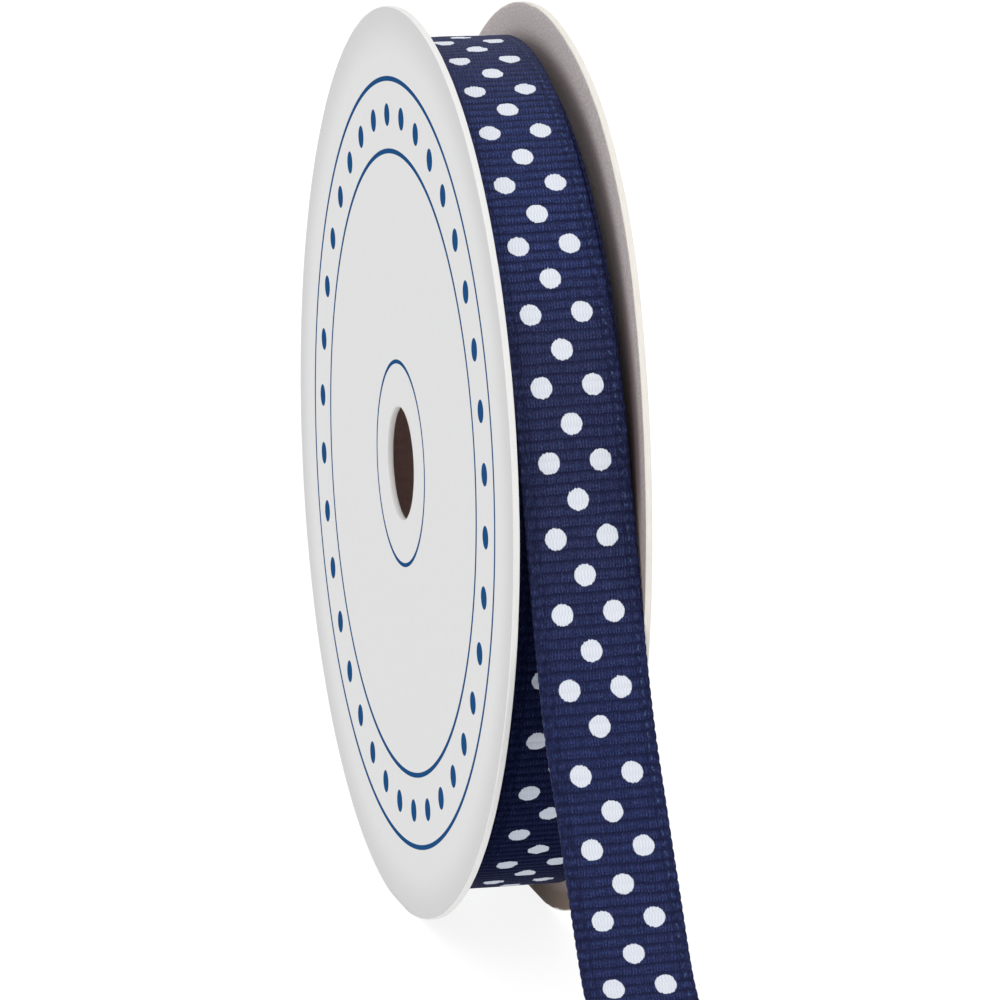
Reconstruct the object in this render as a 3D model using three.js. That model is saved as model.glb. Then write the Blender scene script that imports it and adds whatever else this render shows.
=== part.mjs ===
// A spool of polka dot grosgrain ribbon, standing on the rims of its two card discs.
// Millimetres, +Z up. The spool's axis runs along X, and the loose end hangs off the
// front of the roll, towards -Y. The origin is the bottom centre of the whole part.

import * as THREE from 'three';

// Driving dimensions

const ribbonWidth = 10;
const turnThickness = 0.4; // one turn of ribbon, pressed in the roll
const clearance = 0.3; // between pieces that meet

const discRadius = 43;
const discCard = 0.6;
const discGap = 12.2; // between the inner faces of the two discs
const holeRadius = 5.35;
const flatSpotWidth = 9; // where each rim stands on the table

const coreRadius = 17.5;
const coreWall = 1.2;

const rollRadius = 39.85;
const tailSheet = 1; // the loose end as a sheet
const leaveAngle = 11.5; // degrees above the axis where the loose end leaves the roll
const endOnTable = 14; // length of the loose end that lies flat

// The hanging stretch of the loose end: distance along it, its lean from straight
// down towards the front in degrees, and its drift towards the far disc.
const hang = [
  [0, 11.5, 0],
  [8, 13.9, 0.3],
  [16, 15.1, 0.54],
  [24, 20.5, 0.83],
  [32, 28.5, 1.22],
  [40, 37.8, 1.27],
  [48, 47.2, 1.03],
];

const axisHeight = Math.sqrt(discRadius ** 2 - (flatSpotWidth / 2) ** 2);

// Materials

const coatedCard = new THREE.MeshStandardMaterial({ color: 0xdfdfdf, roughness: 0.6, metalness: 0 });
const greyCard = new THREE.MeshStandardMaterial({ color: 0xcfc8c0, roughness: 0.8, metalness: 0 });
const kraftBoard = new THREE.MeshStandardMaterial({ color: 0x8a6f58, roughness: 0.9, metalness: 0 });
const navyRibbon = new THREE.MeshStandardMaterial({ color: 0x2b3154, roughness: 0.7, metalness: 0 });

// Solids of one outline in the plane across the spool's axis

// Shape coordinates are (y, z) from the axis. The extrusion is turned so that its
// length runs along X, centred on x.
function acrossAxis(shape, length, x, curveSegments) {
  const geometry = new THREE.ExtrudeGeometry(shape, { depth: length, bevelEnabled: false, curveSegments });
  geometry.applyMatrix4(new THREE.Matrix4().set(0, 0, 1, x - length / 2, 1, 0, 0, 0, 0, 1, 0, 0, 0, 0, 0, 1));
  return geometry;
}

function roundHole(radius) {
  return new THREE.Path().absarc(0, 0, radius, 0, 2 * Math.PI, true);
}

// The discs: round card with a punched hole and a small flat spot at the bottom

function disc(x) {
  const halfFlat = Math.asin(flatSpotWidth / 2 / discRadius);
  const outline = new THREE.Shape();
  outline.absarc(0, 0, discRadius, -Math.PI / 2 + halfFlat, 1.5 * Math.PI - halfFlat, false);
  outline.holes.push(roundHole(holeRadius));
  return acrossAxis(outline, discCard, x, 84);
}

// The core: a board tube between the discs, which the ribbon is wound on

function core() {
  const outline = new THREE.Shape().absarc(0, 0, coreRadius, 0, 2 * Math.PI, false);
  outline.holes.push(roundHole(coreRadius - coreWall));
  return acrossAxis(outline, discGap - 2 * clearance, 0, 64);
}

// The roll: its outer turn starts where the loose end leaves, and runs up over the
// top, down the back and under, where it ends one turn lower. Close to that end it
// gives way to the thickness of the loose end that lies over it. The outline is drawn
// from that end back to the start, anticlockwise.

function roll() {
  const steps = 132;
  const givesWay = 30; // degrees
  const outline = new THREE.Shape();
  for (let i = 0; i <= steps; i++) {
    const turned = (1 - i / steps) * 360;
    const nearEnd = Math.max(0, (turned - 360 + givesWay) / givesWay);
    const depth = turnThickness * (turned / 360) + (tailSheet + clearance - turnThickness) * nearEnd;
    const angle = THREE.MathUtils.degToRad(180 - leaveAngle - turned);
    const radius = rollRadius - depth;
    const point = [radius * Math.cos(angle), radius * Math.sin(angle)];
    if (i === 0) outline.moveTo(...point);
    else outline.lineTo(...point);
  }
  outline.holes.push(roundHole(coreRadius + clearance));
  return acrossAxis(outline, ribbonWidth, 0, 64);
}

// The loose end: a route for its outer face, as points with the lean at each one

function tailRoute() {
  const lengths = hang.map((row) => row[0]);
  const bends = new THREE.CubicInterpolant(lengths, hang.flatMap(([, lean, drift]) => [lean, drift]), 2);
  const hangLength = lengths.at(-1);
  const start = THREE.MathUtils.degToRad(leaveAngle);
  const place = { y: -rollRadius * Math.cos(start), z: rollRadius * Math.sin(start) };
  const route = [];

  function step(length, lean, drift) {
    place.y -= length * Math.sin(lean);
    place.z -= length * Math.cos(lean);
    route.push({ x: drift, y: place.y, z: place.z, lean });
  }

  function lean(distance) {
    return THREE.MathUtils.degToRad(bends.evaluate(distance)[0]);
  }

  step(clearance, lean(clearance), 0);
  const pieces = 48;
  const piece = (hangLength - clearance) / pieces;
  for (let i = 1; i <= pieces; i++) {
    const distance = clearance + i * piece;
    step(piece, lean(distance - piece / 2), bends.evaluate(distance)[1]);
  }

  // From the hang's last lean it sweeps out in one round bend and meets the table.
  const last = route.at(-1);
  const lastLean = THREE.MathUtils.degToRad(hang.at(-1)[1]);
  const drop = last.z + axisHeight - tailSheet;
  const bendRadius = drop / (1 - Math.sin(lastLean));
  const bendPieces = 20;
  for (let i = 1; i <= bendPieces; i++) {
    const lean = lastLean + (i / bendPieces) * (Math.PI / 2 - lastLean);
    route.push({
      x: last.x,
      y: last.y - bendRadius * (Math.cos(lastLean) - Math.cos(lean)),
      z: last.z - bendRadius * (Math.sin(lean) - Math.sin(lastLean)),
      lean,
    });
  }
  const landed = route.at(-1);
  route.push({ x: landed.x, y: landed.y - endOnTable, z: landed.z, lean: Math.PI / 2 });
  return route;
}

function tail(route) {
  const half = ribbonWidth / 2;
  const points = [];
  for (const { x, y, z, lean } of route) {
    const inY = y + tailSheet * Math.cos(lean);
    const inZ = z - tailSheet * Math.sin(lean);
    points.push([x - half, y, z], [x + half, y, z], [x + half, inY, inZ], [x - half, inY, inZ]);
  }
  const faces = [0, 1, 2, 0, 2, 3];
  for (let i = 0; i < route.length - 1; i++) {
    for (let side = 0; side < 4; side++) {
      const a = 4 * i + side;
      const b = 4 * i + ((side + 1) % 4);
      faces.push(a, a + 4, b + 4, a, b + 4, b);
    }
  }
  const end = 4 * (route.length - 1);
  faces.push(end, end + 2, end + 1, end, end + 3, end + 2);
  const geometry = new THREE.BufferGeometry();
  geometry.setAttribute('position', new THREE.Float32BufferAttribute(points.flat(), 3));
  geometry.setIndex(faces);
  geometry.computeVertexNormals();
  return geometry;
}

// The spool, put together about its axis and then set on the table

const route = tailRoute();
const reach = -route.at(-1).y;
const spool = new THREE.Group();
spool.position.set(0, (reach - discRadius) / 2, axisHeight);

function add(name, geometry, material) {
  const mesh = new THREE.Mesh(geometry, material);
  mesh.name = name;
  spool.add(mesh);
}

const discPlace = (discGap + discCard) / 2;
add('disc_near', disc(-discPlace), coatedCard);
add('disc_far', disc(discPlace), greyCard);
add('core', core(), kraftBoard);
add('ribbon_roll', roll(), navyRibbon);
add('ribbon_tail', tail(route), navyRibbon);

const part = new THREE.Group();
part.add(spool);

export default part;
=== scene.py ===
"""A spool of polka dot grosgrain ribbon, with its loose end hanging off the front."""

import math

import bpy
import numpy as np
from mathutils import Matrix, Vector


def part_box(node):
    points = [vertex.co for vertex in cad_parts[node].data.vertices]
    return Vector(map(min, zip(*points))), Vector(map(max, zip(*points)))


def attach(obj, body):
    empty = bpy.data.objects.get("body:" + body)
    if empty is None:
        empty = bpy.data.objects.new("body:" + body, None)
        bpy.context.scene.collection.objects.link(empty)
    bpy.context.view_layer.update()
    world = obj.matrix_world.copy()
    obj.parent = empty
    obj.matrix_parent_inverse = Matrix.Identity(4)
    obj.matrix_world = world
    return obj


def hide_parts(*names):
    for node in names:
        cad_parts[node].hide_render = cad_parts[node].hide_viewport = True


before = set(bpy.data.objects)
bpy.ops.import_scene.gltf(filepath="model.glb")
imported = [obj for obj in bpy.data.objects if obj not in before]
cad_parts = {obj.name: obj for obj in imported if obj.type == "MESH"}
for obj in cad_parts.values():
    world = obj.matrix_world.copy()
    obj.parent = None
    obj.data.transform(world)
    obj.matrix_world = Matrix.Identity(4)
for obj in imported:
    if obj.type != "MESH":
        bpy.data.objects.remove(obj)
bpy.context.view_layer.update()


# Where the spool stands
# The spool lies about an axis along X, between two round discs, and stands on their
# rims. The printed disc faces -X, and the loose end comes off the front, at -Y.

MM = 0.001

near_low, near_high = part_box("disc_near")
far_low, far_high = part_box("disc_far")
DISC_RADIUS = (near_high[1] - near_low[1]) / 2
AXIS_Y = (near_high[1] + near_low[1]) / 2
AXIS_Z = near_high[2] - DISC_RADIUS


# The card discs
# Each disc is die-cut from grey board of 0.6 mm with white coated paper on its outer
# face. The press leaves the cut edges cream, slightly rounded and a little uneven.

HOLE_RADIUS = 5.35 * MM
RIM_ROUND = 0.1 * MM
CUT_WAVER = 0.02 * MM
PRESSED_IN = 0.14 * MM
AROUND = 288

# How far each disc bends towards the right at its rim, in millimetres, by degrees from
# the top towards the front. Thin card bows a little between its gluing and its rim.
GLUED_TO = 15 * MM
NEAR_BEND = [(0, 0.0), (90, 0.05), (180, -0.05), (270, 0.04), (360, 0.0)]
FAR_BEND = [(0, 0.1), (15, 0.12), (30, 0.22), (42, 0.14), (52, 0.0), (65, -0.3), (76, -0.47),
            (88, -0.54), (100, -0.5), (112, -0.38), (130, -0.05), (150, 0.3), (170, 0.56),
            (190, 0.68), (220, 0.6), (260, 0.4), (300, 0.2), (340, 0.1), (360, 0.1)]


def eased(places, values, at):
    """A smooth curve through the values at their places."""
    places = np.array(places, float)
    values = np.array(values, float)
    slopes = np.gradient(values, places)
    i = np.clip(np.searchsorted(places, at) - 1, 0, len(places) - 2)
    gap = places[i + 1] - places[i]
    t = np.clip((at - places[i]) / gap, 0, 1)
    return (
        (2 * t**3 - 3 * t**2 + 1) * values[i]
        + (t**3 - 2 * t**2 + t) * gap * slopes[i]
        + (3 * t**2 - 2 * t**3) * values[i + 1]
        + (t**3 - t**2) * gap * slopes[i + 1]
    )


def rim_waver(angle, seed):
    """The cut edge's unevenness round the disc, from -1 to 1."""
    return (
        0.5 * np.sin(23 * angle + seed)
        + 0.3 * np.sin(57 * angle + 2.3 * seed)
        + 0.2 * np.sin(101 * angle + 0.7 * seed)
    )


def card_disc(name, x_inside, x_outside, bends, seed):
    """A disc as rings about the spool's axis: inner face, rim, outer face and hole. Each ring
    is its radius, and its place through the card from 0 inside to 1 outside."""
    through = x_outside - x_inside
    rim = [
        (DISC_RADIUS - RIM_ROUND, 0.0),
        (DISC_RADIUS - 0.3 * RIM_ROUND, 0.05),
        (DISC_RADIUS, 0.18),
        (DISC_RADIUS - 0.15 * RIM_ROUND, 0.4),
        (DISC_RADIUS, 0.6),
        (DISC_RADIUS - 0.08 * RIM_ROUND, 0.82),
        (DISC_RADIUS - 0.3 * RIM_ROUND, 0.95),
        (DISC_RADIUS - RIM_ROUND, 1.0),
    ]
    face = [HOLE_RADIUS + 0.3 * MM, 8 * MM, 14 * MM, 20 * MM, 26 * MM, 32 * MM, 38 * MM, 41.5 * MM,
            DISC_RADIUS - 0.45 * MM]
    hole = [
        (HOLE_RADIUS + 0.05 * MM, 1.0),
        (HOLE_RADIUS, 0.9),
        (HOLE_RADIUS, 0.1),
        (HOLE_RADIUS + 0.05 * MM, 0.0),
    ]
    rings = [(r, 0.0) for r in face] + rim + [(r, 1.0) for r in reversed(face)] + hole
    kinds = ["inside"] * len(face) + ["edge"] * (len(rim) - 1)
    kinds += ["outside"] * (len(face) + 1) + ["edge"] * len(hole)

    angle = np.arange(AROUND) * 2 * np.pi / AROUND
    from_top = (np.degrees(angle) - 90) % 360
    places, depths = zip(*bends)
    bend_at_rim = MM * eased(places, depths, from_top)
    points = []
    for radius, depth in rings:
        r = np.full(AROUND, radius)
        if (radius, depth) in rim:
            r += CUT_WAVER * rim_waver(angle + 2 * depth, seed)
        if (radius, depth) == rim[0]:
            r -= PRESSED_IN * np.clip(rim_waver(angle, seed + 2), 0, 1)
        free = np.clip((r - GLUED_TO) / (DISC_RADIUS - GLUED_TO), 0, 1) ** 1.3
        x = x_inside + depth * through + free * bend_at_rim
        y = AXIS_Y + r * np.cos(angle)
        z = np.maximum(AXIS_Z + r * np.sin(angle), 0)
        points.append(np.stack([x, y, z], axis=1))
    points = np.concatenate(points)
    quads = []
    marks = []
    count = len(rings)
    for ring in range(count):
        here = ring * AROUND
        there = ((ring + 1) % count) * AROUND
        for i in range(AROUND):
            j = (i + 1) % AROUND
            quad = (here + i, here + j, there + j, there + i)
            quads.append(quad if through > 0 else quad[::-1])
            marks.append(["outside", "inside", "edge"].index(kinds[ring]))
    mesh = bpy.data.meshes.new(name)
    mesh.from_pydata(points.tolist(), [], quads)
    mesh.polygons.foreach_set("material_index", marks)
    mesh.shade_smooth()
    disc = bpy.data.objects.new(name, mesh)
    bpy.context.scene.collection.objects.link(disc)
    return disc


def finish(name, roughness):
    """A new material, with its node tree and its surface shader."""
    material = bpy.data.materials.new(name)
    material.use_nodes = True
    surface = material.node_tree.nodes["Principled BSDF"]
    surface.inputs["Roughness"].default_value = roughness
    return material, material.node_tree, surface


def calc(tree, operation, *values):
    """One sum of sockets and numbers, as a Math node."""
    node = tree.nodes.new("ShaderNodeMath")
    node.operation = operation
    for socket, value in zip(node.inputs, values):
        if isinstance(value, (int, float)):
            socket.default_value = value
        else:
            tree.links.new(value, socket)
    return node.outputs[0]


def product(tree, first, *others):
    for other in others:
        first = calc(tree, "MULTIPLY", first, other)
    return first


def away(tree, x, y):
    """Distance from a point, by how far off it is two ways."""
    squares = calc(tree, "ADD", calc(tree, "MULTIPLY", x, x), calc(tree, "MULTIPLY", y, y))
    return calc(tree, "POWER", squares, 0.5)


def ramp(tree, value, low, high, start=0.0, end=1.0):
    """value's stretch from low to high, eased into start to end."""
    node = tree.nodes.new("ShaderNodeMapRange")
    node.interpolation_type = "SMOOTHSTEP"
    tree.links.new(value, node.inputs["Value"])
    for socket, number in zip(list(node.inputs)[1:5], (low, high, start, end)):
        socket.default_value = number
    return node.outputs["Result"]


def tint(tree, share, low, high):
    """A colour between low and high, by share from 0 to 1. Either may be a socket."""
    node = tree.nodes.new("ShaderNodeMix")
    node.data_type = "RGBA"
    tree.links.new(share, node.inputs["Factor"])
    for socket, colour in ((node.inputs[6], low), (node.inputs[7], high)):
        if isinstance(colour, tuple):
            socket.default_value = (*colour, 1)
        else:
            tree.links.new(colour, socket)
    return node.outputs[2]


def grain(tree, place, per_metre, detail=2.0, rough=0.5):
    """Even noise from 0 to 1 with that many features a metre."""
    node = tree.nodes.new("ShaderNodeTexNoise")
    tree.links.new(place, node.inputs["Vector"])
    node.inputs["Scale"].default_value = per_metre
    node.inputs["Detail"].default_value = detail
    node.inputs["Roughness"].default_value = rough
    return node.outputs["Fac"]


def raise_by(tree, surface, height, depth):
    """Bump of that depth in metres, from a height of 0 to 1."""
    node = tree.nodes.new("ShaderNodeBump")
    node.inputs["Distance"].default_value = depth
    tree.links.new(height, node.inputs["Height"])
    tree.links.new(node.outputs["Normal"], surface.inputs["Normal"])


def on_object(tree):
    return tree.nodes.new("ShaderNodeTexCoord").outputs["Object"]


def from_axis(tree, place):
    """A place's distance from the spool's axis, its height above the axis, and its angle
    round it."""
    parts = tree.nodes.new("ShaderNodeSeparateXYZ")
    tree.links.new(place, parts.inputs[0])
    back = calc(tree, "SUBTRACT", parts.outputs["Y"], AXIS_Y)
    above = calc(tree, "SUBTRACT", parts.outputs["Z"], AXIS_Z)
    return away(tree, back, above), above, calc(tree, "ARCTAN2", above, back)


PAPER_GLOSS = 0.5
PAPER_COAT = 0.08

# The printed border: rings as their radius and half width, and a row of dots.
INK = (0.014, 0.072, 0.2)
RINGS = [(36.2 * MM, 0.22 * MM), (29.4 * MM, 0.22 * MM), (9.6 * MM, 0.18 * MM)]
DOTS_AT = 32.8 * MM
DOT_COUNT = 36
BORDER_DOT_RADIUS = 1.05 * MM


def coated_face(name, printed):
    """White coated paper, with painted shade: a little greyer towards the rim."""
    material, tree, surface = finish(name, 0.42)
    place = on_object(tree)
    radius, _, angle = from_axis(tree, place)
    mottle = grain(tree, place, 900, 3.0)
    paper = tint(tree, mottle, (0.634, 0.634, 0.636), (0.659, 0.659, 0.661))
    # Painted shade: the paper turns greyer towards the rim.
    rim_shade = ramp(tree, radius, 38 * MM, 42.8 * MM)
    paper = tint(tree, rim_shade, paper, (0.53, 0.53, 0.532))
    surface.inputs["Specular IOR Level"].default_value = PAPER_GLOSS
    surface.inputs["Coat Weight"].default_value = PAPER_COAT
    surface.inputs["Coat Roughness"].default_value = 0.3
    raise_by(tree, surface, grain(tree, place, 2600, 4.0), 0.008 * MM)
    if not printed:
        tree.links.new(paper, surface.inputs["Base Color"])
        return material

    # The ink is matt, so the paper's gloss shows only where it is bare.
    turn = calc(tree, "PINGPONG", calc(tree, "ADD", angle, 2 * math.pi), math.pi / DOT_COUNT)
    along = calc(tree, "MULTIPLY", turn, DOTS_AT)
    off_dot = away(tree, along, calc(tree, "SUBTRACT", radius, DOTS_AT))
    ink = ramp(tree, off_dot, BORDER_DOT_RADIUS, BORDER_DOT_RADIUS + 0.05 * MM, 1.0, 0.0)
    for at, half_width in RINGS:
        off = calc(tree, "ABSOLUTE", calc(tree, "SUBTRACT", radius, at))
        ring = ramp(tree, off, half_width, half_width + 0.04 * MM, 1.0, 0.0)
        ink = calc(tree, "MAXIMUM", ink, ring)
    tree.links.new(tint(tree, ink, paper, INK), surface.inputs["Base Color"])
    bare = ramp(tree, ink, 0.0, 1.0, 1.0, 0.0)
    tree.links.new(product(tree, bare, PAPER_GLOSS), surface.inputs["Specular IOR Level"])
    tree.links.new(product(tree, bare, PAPER_COAT), surface.inputs["Coat Weight"])
    return material


BOARD_CLOUDS = (0.69, 0.62, 0.605), (0.765, 0.7, 0.688)
BOARD_FLECK = (0.53, 0.477, 0.467)
# Painted shade on the board: darker below, in the slot beside the roll, and darkest low behind.
BOARD_SHADE_BELOW = (0.235, 0.17, 0.13)
SLOT_SHADE_LOW = (0.38, 0.31, 0.29)
SLOT_SHADE_HIGH = (0.12, 0.07, 0.085)
DEEPEST_SHADE = (0.045, 0.022, 0.01)


def grey_board():
    """Uncoated grey board: recycled pulp with darker flecks. It carries painted shade: darker
    towards the bottom, dark in the slot beside the roll, and darkest low down towards the back."""
    material, tree, surface = finish("grey_board", 0.9)
    place = on_object(tree)
    radius, above, angle = from_axis(tree, place)
    flecks = ramp(tree, grain(tree, place, 4200, 3.0, 0.6), 0.38, 0.66)
    clouds = grain(tree, place, 260, 2.0)
    board = tint(tree, flecks, BOARD_FLECK, tint(tree, clouds, *BOARD_CLOUDS))
    # Painted shade: darker towards the bottom.
    board = tint(tree, ramp(tree, above, -44 * MM, 34 * MM), BOARD_SHADE_BELOW, board)

    # Painted shade in the slot between the roll and the disc: the lower half is darker up to
    # the roll's edge and a little beyond.
    past_roll = ramp(tree, radius, 40.4 * MM, 41.5 * MM)
    clear_of_slot = calc(tree, "MAXIMUM", past_roll, ramp(tree, above, 4 * MM, 26 * MM))
    board = tint(tree, clear_of_slot, SLOT_SHADE_LOW, board)

    # Painted shade in the slot on the upper half: a dark ring beside the roll's edge. It
    # reaches less far out higher up.
    higher = ramp(tree, above, 8 * MM, 28 * MM)
    reach = calc(tree, "MULTIPLY_ADD", higher, 1.0 * MM, radius)
    high_slot_shade = product(tree, ramp(tree, reach, 39.9 * MM, 42.0 * MM, 1.0, 0.0),
                     ramp(tree, radius, 34.5 * MM, 38 * MM), ramp(tree, above, -1 * MM, 7 * MM),
                     calc(tree, "MULTIPLY_ADD", higher, -0.14, 0.8))
    board = tint(tree, high_slot_shade, board, SLOT_SHADE_HIGH)

    # Painted shade below: darkest from the bottom towards the back.
    low_behind = product(tree, ramp(tree, angle, math.radians(-112), math.radians(-88)),
                         ramp(tree, above, -38 * MM, -24 * MM, 1.0, 0.0))
    board = tint(tree, low_behind, board, DEEPEST_SHADE)
    tree.links.new(board, surface.inputs["Base Color"])
    raise_by(tree, surface, grain(tree, place, 2400, 5.0, 0.6), 0.03 * MM)
    return material


def cut_edge(name, dark, light):
    """The board's cut edge, with fine lines where its plies lie."""
    material, tree, surface = finish(name, 0.85)
    place = on_object(tree)
    stretch = tree.nodes.new("ShaderNodeMapping")
    stretch.inputs["Scale"].default_value = (9, 1, 1)
    tree.links.new(place, stretch.inputs["Vector"])
    plies = grain(tree, stretch.outputs["Vector"], 700, 4.0, 0.6)
    tree.links.new(tint(tree, plies, dark, light), surface.inputs["Base Color"])
    raise_by(tree, surface, plies, 0.03 * MM)
    return material


printed_face = coated_face("coated_card_printed", True)
plain_face = coated_face("coated_card_plain", False)
board_face = grey_board()
near_disc = card_disc("card_disc_near", near_high[0], near_low[0], NEAR_BEND, 0.4)
far_disc = card_disc("card_disc_far", far_low[0], far_high[0], FAR_BEND, 1.9)
near_edge = cut_edge("card_edge_white", (0.71, 0.705, 0.695), (0.84, 0.835, 0.82))
far_edge = cut_edge("card_edge_cream", (0.68, 0.643, 0.578), (0.88, 0.853, 0.802))
for disc, node, face, edge, slot in (
    (near_disc, "disc_near", printed_face, near_edge, "coated_card"),
    (far_disc, "disc_far", plain_face, far_edge, "card"),
):
    for material in (face, board_face, edge):
        disc.data.materials.append(material)
    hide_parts(node)
    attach(disc, "root")


# The core
# A tube wound from brown kraft board, glued between the discs. It shows as the dark
# wall inside the hole, with the spiral joints of its board.

JOINT_EVERY = 9 * MM


def kraft_board():
    material, tree, surface = finish("kraft_board", 0.88)
    place = on_object(tree)
    _, _, angle = from_axis(tree, place)
    parts = tree.nodes.new("ShaderNodeSeparateXYZ")
    tree.links.new(place, parts.inputs[0])
    spiral = calc(tree, "ADD", calc(tree, "MULTIPLY", parts.outputs["X"], 1 / JOINT_EVERY),
                  calc(tree, "MULTIPLY", angle, 1 / (2 * math.pi)))
    joint = ramp(tree, calc(tree, "PINGPONG", spiral, 0.5), 0.0, 0.03)
    fibres = grain(tree, place, 1800, 4.0, 0.6)
    board = tint(tree, fibres, (0.4, 0.26, 0.235), (0.64, 0.45, 0.41))
    tree.links.new(tint(tree, joint, (0.2, 0.13, 0.105), board), surface.inputs["Base Color"])
    raise_by(tree, surface, calc(tree, "MULTIPLY", joint, fibres), 0.05 * MM)
    return material


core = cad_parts["core"]
core.data.materials.clear()
core.data.materials.append(kraft_board())


# The ribbon's run
# Grosgrain sold as 10 mm, wound on the core and leaving the roll at the front. Its run
# is the route of its printed face: turns round the axis, then the hanging end.

WIDTH = 10.2 * MM
THICK = 0.4 * MM
TURN = 0.44 * MM
ROLL_RADIUS = 39.85 * MM
LEAVES_AT = math.radians(11.5)
END_ON_TABLE = 14 * MM
ROLL_STEP = 0.004  # radians
HANG_STEP = 0.1 * MM

# The outer turns are slack at the back and below: how far the outermost one stands off, by
# degrees turned back from where the ribbon leaves the roll. Each turn under it has half.
SLACK = [(0, 0.0), (78, 0.14), (180, 0.2), (262, 0.76), (300, 0.66), (345, 0.2), (360, 0.0)]

# Sideways drift of the ribbon, by the same degrees.
ROLL_DRIFT = [(-20, 0.1), (0, -0.03), (21, -0.57), (45, -0.76), (78, -0.28), (130, 0.0),
              (200, 0.35), (262, 0.87), (278, 0.84), (295, 0.52), (312, 0.15), (330, -0.22),
              (360, -0.48), (400, -0.5)]

# The hanging end: millimetres along it, lean from straight down, and sideways drift.
HANG = [(0, 11.5, -0.03), (8, 13.9, 0.3), (16, 15.1, 0.54), (24, 20.5, 0.83),
        (32, 28.5, 1.22), (40, 37.8, 1.27), (48, 47.2, 1.03)]


def wound_radius(turned):
    """Radius of the ribbon's outer face, by radians turned back."""
    laps = turned / (2 * np.pi)
    places, gaps = zip(*SLACK)
    slack = MM * eased(places, gaps, np.degrees(turned) % 360) * 0.5 ** np.floor(laps)
    return ROLL_RADIUS - TURN * laps + slack


def turns_run(first, last):
    """The run on the roll from first to last, in radians turned back, as rows of
    x, y, z and the outward direction's y and z."""
    turned = np.linspace(first, last, int(abs(last - first) / ROLL_STEP))
    radius = wound_radius(turned)
    angle = np.pi - LEAVES_AT - turned
    places, drifts = zip(*ROLL_DRIFT)
    x = MM * eased(places, drifts, np.degrees(turned))
    out_y = np.cos(angle)
    out_z = np.sin(angle)
    return np.stack([x, AXIS_Y + radius * out_y, AXIS_Z + radius * out_z, out_y, out_z], axis=1)


def hanging_run():
    """The run from where the ribbon leaves the roll, down to the table and along it."""
    lengths, leans, drifts = zip(*HANG)
    along = np.arange(HANG_STEP, lengths[-1] * MM, HANG_STEP)
    lean = np.radians(eased(lengths, leans, along / MM))
    x = MM * eased(lengths, drifts, along / MM)
    y = AXIS_Y - ROLL_RADIUS * math.cos(LEAVES_AT) - np.cumsum(HANG_STEP * np.sin(lean))
    z = AXIS_Z + ROLL_RADIUS * math.sin(LEAVES_AT) - np.cumsum(HANG_STEP * np.cos(lean))
    hang = np.stack([x, y, z, -np.cos(lean), np.sin(lean)], axis=1)

    # From its last lean it sweeps out in one round bend and lies on the table.
    last_lean = lean[-1]
    bend = (z[-1] - THICK) / (1 - math.sin(last_lean))
    lean = np.linspace(last_lean, math.pi / 2, int(bend * (math.pi / 2 - last_lean) / HANG_STEP))[1:]
    y_bend = y[-1] - bend * (math.cos(last_lean) - np.cos(lean))
    z_bend = z[-1] - bend * (np.sin(lean) - math.sin(last_lean))
    sweep = np.stack([np.full_like(lean, x[-1]), y_bend, z_bend, -np.cos(lean), np.sin(lean)],
                     axis=1)
    flat = np.arange(HANG_STEP, END_ON_TABLE, HANG_STEP)
    lie = np.stack([np.full_like(flat, x[-1]), y_bend[-1] - flat, np.full_like(flat, THICK),
                    np.zeros_like(flat), np.ones_like(flat)], axis=1)
    return np.concatenate([hang, sweep, lie])


def measured(run):
    """Distance along the run's printed face at each of its rows."""
    steps = np.hypot(np.diff(run[:, 1]), np.diff(run[:, 2]))
    return np.concatenate([[0], np.cumsum(steps)])


# The inner turns
# About fifty turns lie under the outer one. Only their edges show, stacked a little
# unevenly between the discs.

# In radians turned back from where the ribbon leaves the roll: the outer turn reaches this
# far under itself, and the inner ones go on from there to the core.
OUTER_END = 2 * math.pi + 0.4
INNERMOST = 2 * math.pi * (ROLL_RADIUS - 17.95 * MM) / TURN
ROWS_A_TURN = 100


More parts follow.
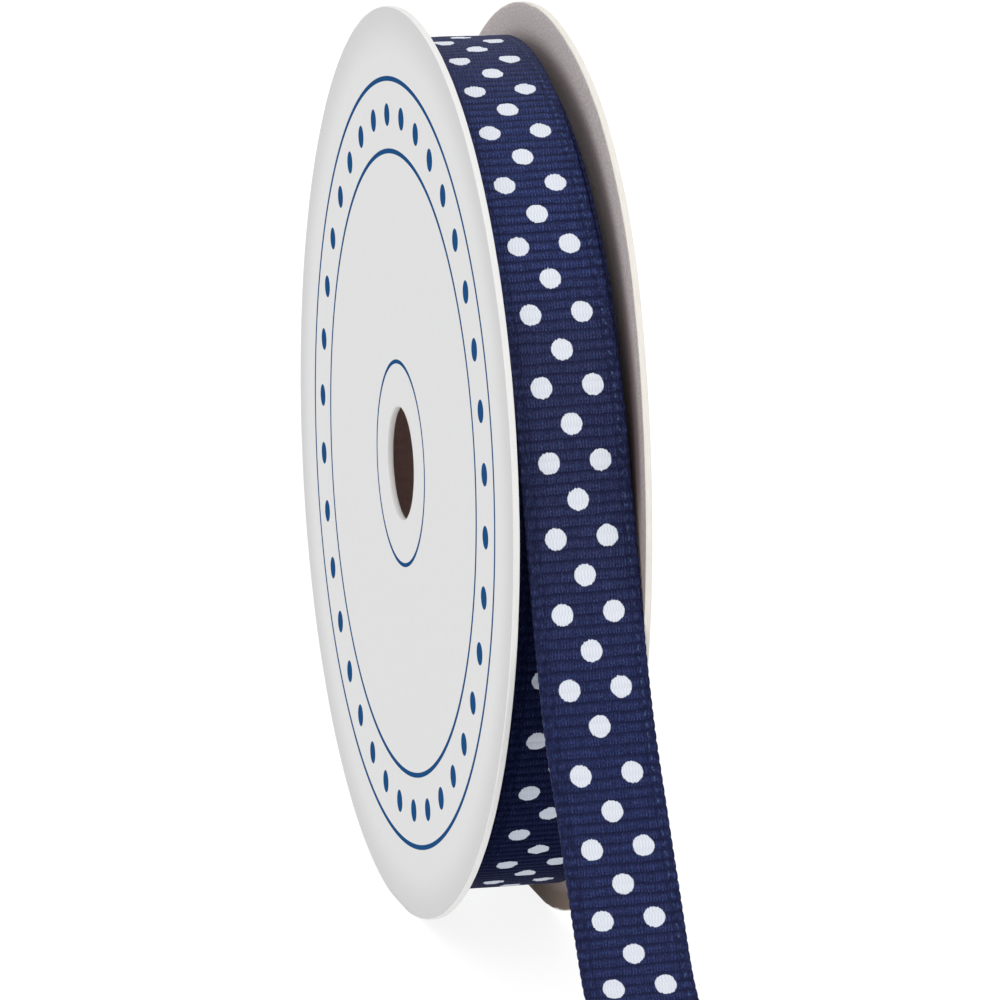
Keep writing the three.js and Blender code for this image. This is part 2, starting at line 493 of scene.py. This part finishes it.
def inner_turns():
    count = int((INNERMOST - OUTER_END) / (2 * math.pi) * ROWS_A_TURN)
    turned = np.linspace(OUTER_END, INNERMOST, count)
    radius = wound_radius(turned)
    angle = np.pi - LEAVES_AT - turned
    lap = turned / (2 * np.pi)
    wander = 0.22 * np.sin(2.4 * lap) + 0.16 * np.sin(5.1 * lap + 1) + 0.1 * np.sin(0.7 * turned)
    near_outer = np.exp(-((lap - lap[0]) / 0.9) ** 2)
    drift = MM * (near_outer * ROLL_DRIFT[-1][1] + (1 - near_outer) * wander)
    rows = []
    for side, depth in ((-1, 0), (1, 0), (1, 1), (-1, 1)):
        r = radius - depth * THICK
        rows.append(np.stack([drift + side * WIDTH / 2, AXIS_Y + r * np.cos(angle),
                              AXIS_Z + r * np.sin(angle)], axis=1))
    points = np.stack(rows, axis=1).reshape(-1, 3)
    quads = [(4 * i + k, 4 * i + (k + 1) % 4, 4 * i + 4 + (k + 1) % 4, 4 * i + 4 + k)
             for i in range(count - 1) for k in range(4)]
    end = 4 * (count - 1)
    quads += [(3, 2, 1, 0), (end, end + 1, end + 2, end + 3)]
    mesh = bpy.data.meshes.new("ribbon_inner_turns")
    mesh.from_pydata(points.tolist(), [], quads)
    along = np.concatenate([[0], np.cumsum(np.diff(turned) * radius[1:])])
    corner = np.empty(len(mesh.loops), int)
    mesh.loops.foreach_get("vertex_index", corner)
    across = np.tile([-WIDTH / 2, WIDTH / 2, WIDTH / 2 + THICK, -WIDTH / 2 - THICK], count)
    weave = np.stack([across[corner], along[corner // 4]], axis=1) / MM
    mesh.uv_layers.new(name="weave").data.foreach_set("uv", weave.ravel())
    stack = bpy.data.objects.new("ribbon_inner_turns", mesh)
    bpy.context.scene.collection.objects.link(stack)
    return stack, float(along[-1])


# The outer turn and the loose end
# One stretch of ribbon: a navy polyester grosgrain with rounded cross ribs, a plainer
# woven edge with a tiny loop at each rib, and white dots printed on the outer face.

RIB = 0.985 * MM
RELIEF = 0.12 * MM
BACK_RELIEF = 0.3  # of the face's
SELVAGE = 1.1 * MM
LOOP = 0.1 * MM
SKEW = 0.03
RIB_STEPS = [0.0, 0.12, 0.28, 0.5, 0.72, 0.88]
THREAD = 0.276  # millimetres

# The print, in millimetres along the ribbon and across it. Its rows are counted from one
# close to the top of the roll, and its repeats join between two of them, a gap apart.
ROW = 3.392
DOT_APART = 2.386
DOT_RADIUS = 0.99
TOP_ROW_AT = 0.007  # radians from the top
JOIN_ROW = 23.5
JOIN_GAP = 0.93


def rib_height(along, across, side):
    """Height of the ribs, from 0 in a groove to 1, with a weaver's small unevenness."""
    phase = along / RIB + 0.05 * np.sin(along / (3.1 * MM) + across / (2.1 * MM)) * side
    crown = np.abs(np.sin(np.pi * phase)) ** 0.7
    number = np.floor(phase)
    uneven = 0.86 + 0.14 * np.sin(number * 12.9898 + across / (1.4 * MM) + 2 * side)
    body = np.clip((WIDTH / 2 - np.abs(across) - 0.75 * SELVAGE) / (0.5 * SELVAGE), 0, 1)
    return crown * uneven * body + (0.5 + 0.15 * np.sin(2 * np.pi * phase)) * (1 - body)


def ribbon_face_points():
    across = np.array([5.03, 4.8, 4.4, 4.0, 3.5, 2.9, 2.2, 1.5, 0.75])
    top = np.concatenate([-across, [0], across[::-1]]) * MM
    bottom = np.array([5.0, 4.3, 3.0, 1.5, 0, -1.5, -3.0, -4.3, -5.0]) * MM
    return top, bottom


def outer_ribbon():
    tucked_in = 0.011  # radians past the inner turns' start
    roll = turns_run(OUTER_END + tucked_in, 0.0)
    run = np.concatenate([roll, hanging_run()])
    lengths = measured(run)
    top_row = lengths[len(roll) - 1] - (math.pi / 2 - LEAVES_AT - TOP_ROW_AT) * ROLL_RADIUS
    full = lengths[-1] - SKEW * WIDTH
    ribs = np.arange(math.floor(0.2 * MM / RIB) + 1, math.floor(full / RIB))
    stations = (ribs[:, None] + np.array(RIB_STEPS)[None]).ravel() * RIB

    top, bottom = ribbon_face_points()
    across = np.concatenate([top, [WIDTH / 2], bottom, [-WIDTH / 2]])
    ring = len(across)
    sink = np.concatenate([np.zeros(len(top)), [0.5], np.ones(len(bottom)), [0.5]])
    side = np.concatenate([np.ones(len(top)), [0], -np.ones(len(bottom)), [0]])

    along = stations[:, None] - SKEW * across[None]
    at = [np.interp(along, lengths, run[:, k]) for k in range(5)]
    height = rib_height(stations[:, None], across[None], side[None])
    relief = RELIEF * np.where(side < 0, BACK_RELIEF, 1.0)
    depth = sink * THICK - side * relief * (height - 0.5)
    loop = LOOP * (rib_height(stations, 0.0 * stations, 1.0) - 0.4)
    wide = across[None] * (1 + loop[:, None] / (WIDTH / 2) * (np.abs(across) > 4.9 * MM))
    points = np.stack([at[0] + wide, at[1] - depth * at[3], at[2] - depth * at[4]], axis=-1)
    points[..., 2] = np.maximum(points[..., 2], 0.0)

    count = len(stations)
    i = np.arange(count - 1)[:, None] * ring
    k = np.arange(ring)[None]
    k2 = (k + 1) % ring
    quads = np.stack([i + k, i + k2, i + ring + k2, i + ring + k], axis=-1).reshape(-1, 4)
    marks = np.tile((np.arange(ring) >= len(top) - 1).astype(int), count - 1)
    end = (count - 1) * ring
    caps = [tuple(range(ring))[::-1], tuple(range(end, end + ring))]
    mesh = bpy.data.meshes.new("ribbon")
    mesh.from_pydata(points.reshape(-1, 3).tolist(), [], quads.tolist() + caps)
    mesh.polygons.foreach_set("material_index", np.append(marks, [1, 1]))
    mesh.shade_smooth()

    corner = np.empty(len(mesh.loops), int)
    mesh.loops.foreach_get("vertex_index", corner)
    u = np.tile(across, count)[corner] / MM
    v = np.repeat(stations, ring)[corner] / MM
    mesh.uv_layers.new(name="weave").data.foreach_set("uv", np.stack([u, v], axis=1).ravel())
    rows = (v - top_row / MM) / ROW
    joined = np.clip((rows - JOIN_ROW + 0.15) / 0.3, 0, 1) * JOIN_GAP
    dots = np.stack([u, v - top_row / MM - joined], axis=1)
    mesh.uv_layers.new(name="print").data.foreach_set("uv", dots.ravel())
    ribbon = bpy.data.objects.new("ribbon", mesh)
    bpy.context.scene.collection.objects.link(ribbon)
    return ribbon, float(full)


# The cloth's colours: each crest as its redder and its greener navy. The bluer crest is
# painted sheen; the deeper crest, the shaded cloth and inks and the greyed ink are painted shade.
CREST = (0.058, 0.0555, 0.167), (0.0385, 0.07, 0.184)
SHEEN_CREST = (0.0545, 0.061, 0.215), (0.036, 0.077, 0.238)
SHADED_CREST = (0.047, 0.0515, 0.187), (0.031, 0.065, 0.207)
GROOVE = (0.001, 0.002, 0.0235)
SHADED_CLOTH = (0.002, 0.0025, 0.01)
BRIGHT_FIBRE = (0.08, 0.14, 0.28)
WHITE_INK = (0.6, 0.635, 0.715), (0.82, 0.855, 0.925)
SHADED_INK = (0.43, 0.47, 0.56)
SHADED_HANGING_INK = (0.3, 0.3, 0.35)
CLOTH_GLOSS = 0.14


def grosgrain(name, printed):
    """Navy polyester: fine threads along the ribbon, bound down in the grooves between its
    ribs. The printed face has white ink dots, ragged where a thread carries or drops it."""
    material, tree, surface = finish(name, 0.7)

    def layer(called):
        node = tree.nodes.new("ShaderNodeUVMap")
        node.uv_map = called
        parts = tree.nodes.new("ShaderNodeSeparateXYZ")
        tree.links.new(node.outputs["UV"], parts.inputs[0])
        return node.outputs["UV"], parts.outputs["X"], parts.outputs["Y"]

    def cloth_grain(x, y, detail, rough=0.5, place=None):
        """Noise with x features a millimetre across the ribbon and y along it."""
        node = tree.nodes.new("ShaderNodeMapping")
        node.inputs["Scale"].default_value = (x, y, 1)
        tree.links.new(weave if place is None else place, node.inputs["Vector"])
        return grain(tree, node.outputs["Vector"], 1.0, detail, rough)

    def random_at(x, y):
        node = tree.nodes.new("ShaderNodeCombineXYZ")
        tree.links.new(x, node.inputs[0])
        tree.links.new(y, node.inputs[1])
        noise = tree.nodes.new("ShaderNodeTexWhiteNoise")
        noise.noise_dimensions = "2D"
        tree.links.new(node.outputs[0], noise.inputs["Vector"])
        return noise.outputs["Value"]

    weave, u, v = layer("weave")

    # On the printed face the crests get a bluer painted sheen where the ribbon turns over the
    # front of the roll. The ribs' painted light and shade is stronger there, and again where the
    # loose end sweeps out. Further down the loose end is painted in shade: deeper blue and darker,
    # with greyer dots.
    if printed:
        place, across, along = layer("print")
        front = ramp(tree, along, 33.0, 45.0, 1.0, 0.0)
        over = product(tree, ramp(tree, along, 4.0, 20.0), front)
        stronger_rib_shade = calc(tree, "MAXIMUM", product(tree, ramp(tree, along, -10.0, 4.0), front),
                      ramp(tree, along, 72.0, 90.0, 0.0, 0.65))
        hanging = ramp(tree, along, 58.0, 80.0)
        depth = calc(tree, "MULTIPLY_ADD", stronger_rib_shade, 0.14, 0.24)
    else:
        depth = 0.1
    patchy = cloth_grain(0.45, 0.9, 1.0)
    depth = product(tree, calc(tree, "MULTIPLY_ADD", patchy, 3.0, -0.5), depth)

    # Ribs, a little wavy, with a groove between each two. They end at the selvages.
    wave = product(tree, calc(tree, "SUBTRACT", cloth_grain(0.5, 0.4, 1.0), 0.5), 0.3)
    rib_place = calc(tree, "MULTIPLY_ADD", v, 1 / (RIB / MM), wave)
    rib_number = calc(tree, "FLOOR", rib_place)
    down_rib = calc(tree, "FRACT", rib_place)
    whole_turn = 2 * math.pi
    # Painted light and shade across each rib: a wave, lightest this far down the rib.
    lightest = 0.58  # of the way down a rib
    painted_rib_light = calc(tree, "COSINE",
                  calc(tree, "MULTIPLY_ADD", down_rib, whole_turn, -lightest * whole_turn))
    from_middle = calc(tree, "ABSOLUTE", u)
    body = ramp(tree, from_middle, 3.8, 4.05, 1.0, 0.0)

    def band(at, reach):
        off = calc(tree, "ABSOLUTE", calc(tree, "SUBTRACT", down_rib, at))
        return product(tree, ramp(tree, off, 0.4 * reach, reach, 1.0, 0.0), body)

    bead_row_and_highlight = band(0.9, 0.1)
    groove = band(0.08, 0.1)

    # Threads, side by side. The next rib shows the threads in between. They look smooth on a
    # rib, and like a row of beads where they turn down into the groove below it; that row is
    # also lit brighter, as a painted highlight.
    sway = product(tree, cloth_grain(1.1, 0.9, 1.0), 5.0)
    turn = calc(tree, "ADD", calc(tree, "MULTIPLY_ADD", u, whole_turn / THREAD, sway),
                product(tree, rib_number, math.pi))
    thread = calc(tree, "MULTIPLY_ADD", calc(tree, "SINE", turn), 0.5, 0.5)
    column = calc(tree, "FLOOR", calc(tree, "DIVIDE", turn, math.pi))
    one_thread = random_at(column, rib_number)
    fuzz = cloth_grain(8.5, 4.2, 3.0, 0.7)

    on_rib = calc(tree, "MULTIPLY_ADD", thread, 0.24, 0.25)
    beads = ramp(tree, thread, 0.3, 0.9, 0.2, 0.88)
    light = calc(tree, "MULTIPLY_ADD", bead_row_and_highlight, calc(tree, "SUBTRACT", beads, on_rib), on_rib)
    # Painted light and shade on each rib: lighter lower down it, darker in the groove band as
    # painted shade, and the painted wave as strong as depth. Threads, their tone and fuzz are the
    # cloth's own.
    light = product(tree, light, ramp(tree, down_rib, 0.05, 0.6, 0.75, 1.08),
                    calc(tree, "MULTIPLY_ADD", groove, -0.25, 1.0),
                    calc(tree, "MULTIPLY_ADD", painted_rib_light, depth, 1.0),
                    calc(tree, "MULTIPLY_ADD", one_thread, 0.5, 0.75),
                    ramp(tree, fuzz, 0.29, 0.71, 0.15, 1.5))
    edge_blots = ramp(tree, cloth_grain(2.2, 1.3, 2.0), 0.4, 0.6)
    edge_light = product(tree, calc(tree, "MULTIPLY_ADD", edge_blots, 0.6, 0.5), light)
    light = calc(tree, "MAXIMUM", product(tree, body, light),
                 product(tree, calc(tree, "SUBTRACT", 1.0, body), edge_light))

    # Navy, from its grooves to its crests. Under the spool it lies in deeper shade.
    hue = ramp(tree, cloth_grain(4.5, 3.0, 2.0, 0.6), 0.35, 0.65)
    crest = tint(tree, hue, *CREST)
    if printed:
        # Painted sheen: bluer crests over the front of the roll.
        crest = tint(tree, over, crest, tint(tree, hue, *SHEEN_CREST))
        # Painted shade: deeper, darker crests lower down the loose end.
        crest = tint(tree, hanging, crest, tint(tree, hue, *SHADED_CREST))
        light = product(tree, light, calc(tree, "MULTIPLY_ADD", hanging, -0.14, 1.0))
    beneath = ramp(tree, v, 60.0, 110.0, 0.6, 0.0)
    cloth = tint(tree, beneath, tint(tree, light, GROOVE, crest), SHADED_CLOTH)

    # Bright fibres: scattered over the ribs, and the loops of the right selvage, which the
    # loom knits at each rib's end.
    scattered = ramp(tree, cloth_grain(6.0, 2.4, 2.0, 0.7), 0.63, 0.76)
    shift = product(tree, random_at(rib_number, rib_number), 0.55)
    slant = product(tree, down_rib, calc(tree, "MULTIPLY_ADD", shift, -2.0, 0.55))
    loop_at = calc(tree, "SUBTRACT", calc(tree, "SUBTRACT", u, 4.05), shift)
    loop_at = calc(tree, "SUBTRACT", loop_at, slant)
    half_way = calc(tree, "ABSOLUTE", calc(tree, "SUBTRACT", down_rib, 0.5))
    loops = product(tree, ramp(tree, calc(tree, "ABSOLUTE", loop_at), 0.03, 0.15, 1.0, 0.0),
                    ramp(tree, half_way, 0.1, 0.35, 1.0, 0.0),
                    ramp(tree, fuzz, 0.42, 0.62, 0.05, 0.85),
                    ramp(tree, random_at(rib_number, shift), 0.1, 0.7, 0.25, 1.0))
    fibres = calc(tree, "MAXIMUM", product(tree, scattered, 0.36), loops)
    cloth = tint(tree, fibres, cloth, BRIGHT_FIBRE)

    height = calc(tree, "MULTIPLY_ADD", fuzz, 0.4, product(tree, thread, 0.6))
    height = product(tree, height, calc(tree, "MULTIPLY_ADD", groove, -0.5, 1.0))
    colour = cloth
    if printed:
        carried = calc(tree, "SUBTRACT", random_at(column, rib_number), 0.5)
        along = calc(tree, "MULTIPLY_ADD", carried, 0.1, along)
        row_off = calc(tree, "PINGPONG", along, ROW)
        side_off = calc(tree, "SUBTRACT", calc(tree, "ABSOLUTE", across), DOT_APART)
        pair = away(tree, side_off, row_off)
        single = away(tree, across, calc(tree, "SUBTRACT", ROW, row_off))
        nearest = calc(tree, "MINIMUM", pair, single)
        ragged = calc(tree, "SUBTRACT", cloth_grain(9.0, 6.0, 2.0, 0.6, place), 0.5)
        edge = calc(tree, "MULTIPLY_ADD", ragged, 0.12, nearest)
        ink = ramp(tree, edge, DOT_RADIUS - 0.04, DOT_RADIUS + 0.04, 1.0, 0.0)
        worn = calc(tree, "MULTIPLY_ADD", fuzz, 0.5, product(tree, thread, 0.55))
        white = tint(tree, beneath, tint(tree, worn, *WHITE_INK), SHADED_INK)
        # Painted shade: greyer dots lower down the loose end.
        white = tint(tree, product(tree, hanging, 0.08), white, SHADED_HANGING_INK)
        colour = tint(tree, ink, cloth, white)
        height = product(tree, height, calc(tree, "MULTIPLY_ADD", ink, -0.4, 1.0))
    tree.links.new(colour, surface.inputs["Base Color"])
    surface.inputs["Sheen Weight"].default_value = 0.045
    surface.inputs["Sheen Roughness"].default_value = 0.35
    surface.inputs["Sheen Tint"].default_value = (0.45, 0.55, 0.9, 1)
    surface.inputs["Specular IOR Level"].default_value = CLOTH_GLOSS
    gloss = ramp(tree, v, 60.0, 110.0, 0.0, CLOTH_GLOSS)
    tree.links.new(gloss, surface.inputs["Specular IOR Level"])
    raise_by(tree, surface, height, 0.03 * MM)
    return material


plain = grosgrain("grosgrain_back", False)
stack, stack_length = inner_turns()
stack.data.materials.append(plain)
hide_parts("ribbon_roll")
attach(stack, "root")

ribbon, ribbon_length = outer_ribbon()
ribbon.data.materials.append(grosgrain("grosgrain_printed", True))
ribbon.data.materials.append(plain)
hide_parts("ribbon_tail")
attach(ribbon, "root")


# The table and the light
# A plain white table under a bright, even studio sky, with one large soft light above
# and in front, so that the spool's shadow is faint.

bpy.context.scene.view_settings.view_transform = "Standard"

table_mesh = bpy.data.meshes.new("table")
table_mesh.from_pydata([(-4, -4, 0), (4, -4, 0), (4, 4, 0), (-4, 4, 0)], [], [(0, 1, 2, 3)])
table = bpy.data.objects.new("table", table_mesh)
table.location.z = -0.02 * MM
bpy.context.scene.collection.objects.link(table)
table_finish, table_tree, table_surface = finish("table_white", 0.7)
table_surface.inputs["Base Color"].default_value = (0.14, 0.14, 0.14, 1)
table_surface.inputs["Emission Color"].default_value = (1, 1, 1, 1)
table_surface.inputs["Emission Strength"].default_value = 0.88
table.data.materials.append(table_finish)

sky = bpy.data.worlds.new("studio")
sky.use_nodes = True
sky.node_tree.nodes["Background"].inputs["Color"].default_value = (1, 1, 1, 1)
sky.node_tree.nodes["Background"].inputs["Strength"].default_value = 0.92
bpy.context.scene.world = sky


def soft_light(name, place, size, watts):
    """A square soft light, turned to the spool."""
    light = bpy.data.lights.new(name, "AREA")
    light.size = size
    light.energy = watts
    lamp = bpy.data.objects.new(name, light)
    lamp.location = place
    way = np.array([0, AXIS_Y, AXIS_Z]) - np.array(place)
    tip = math.atan2(math.hypot(way[0], way[1]), -way[2])
    lamp.rotation_euler = (tip, 0, math.atan2(-way[0], way[1]))
    bpy.context.scene.collection.objects.link(lamp)


soft_light("light_above", (-0.25, -0.35, 0.75), 0.5, 1.5)


# The camera
# It looks from the front left and a little above, from the distance at which the two
# discs show their measured spread, and is aimed a little right of the axis and below.

AZIMUTH = math.radians(-13.98)
ELEVATION = math.radians(12.08)
TILT = math.radians(0.234)
DISTANCE = 0.725
SENSOR = 36

# In picture widths: the focal length, and how far the axis lies right of the picture's
# middle and above it.
FOCUS = 7.685
AXIS_RIGHT = -0.0306
AXIS_UP = 0.04

back = np.array([math.sin(AZIMUTH) * math.cos(ELEVATION), -math.cos(AZIMUTH) * math.cos(ELEVATION),
                 math.sin(ELEVATION)])
right = np.array([math.cos(AZIMUTH), math.sin(AZIMUTH), 0.0])
up = np.cross(back, right)
axis_point = np.array([0, AXIS_Y, AXIS_Z])
aim = axis_point - (AXIS_RIGHT * right + AXIS_UP * up) * DISTANCE / FOCUS
spot = axis_point + back * DISTANCE

lens = bpy.data.cameras.new("camera")
lens.sensor_width = SENSOR
lens.lens = SENSOR * FOCUS
lens.clip_start = 0.01
camera = bpy.data.objects.new("camera", lens)
look = (spot - aim) / np.linalg.norm(spot - aim)
side_way = np.cross([0, 0, 1], look)
side_way /= np.linalg.norm(side_way)
up_way = np.cross(look, side_way)
turned_side = math.cos(TILT) * side_way + math.sin(TILT) * up_way
turned_up = np.cross(look, turned_side)
pose = np.eye(4)
pose[:3, 0] = turned_side
pose[:3, 1] = turned_up
pose[:3, 2] = look
pose[:3, 3] = spot
camera.matrix_world = Matrix(pose.tolist())
bpy.context.scene.collection.objects.link(camera)
bpy.context.scene.camera = camera
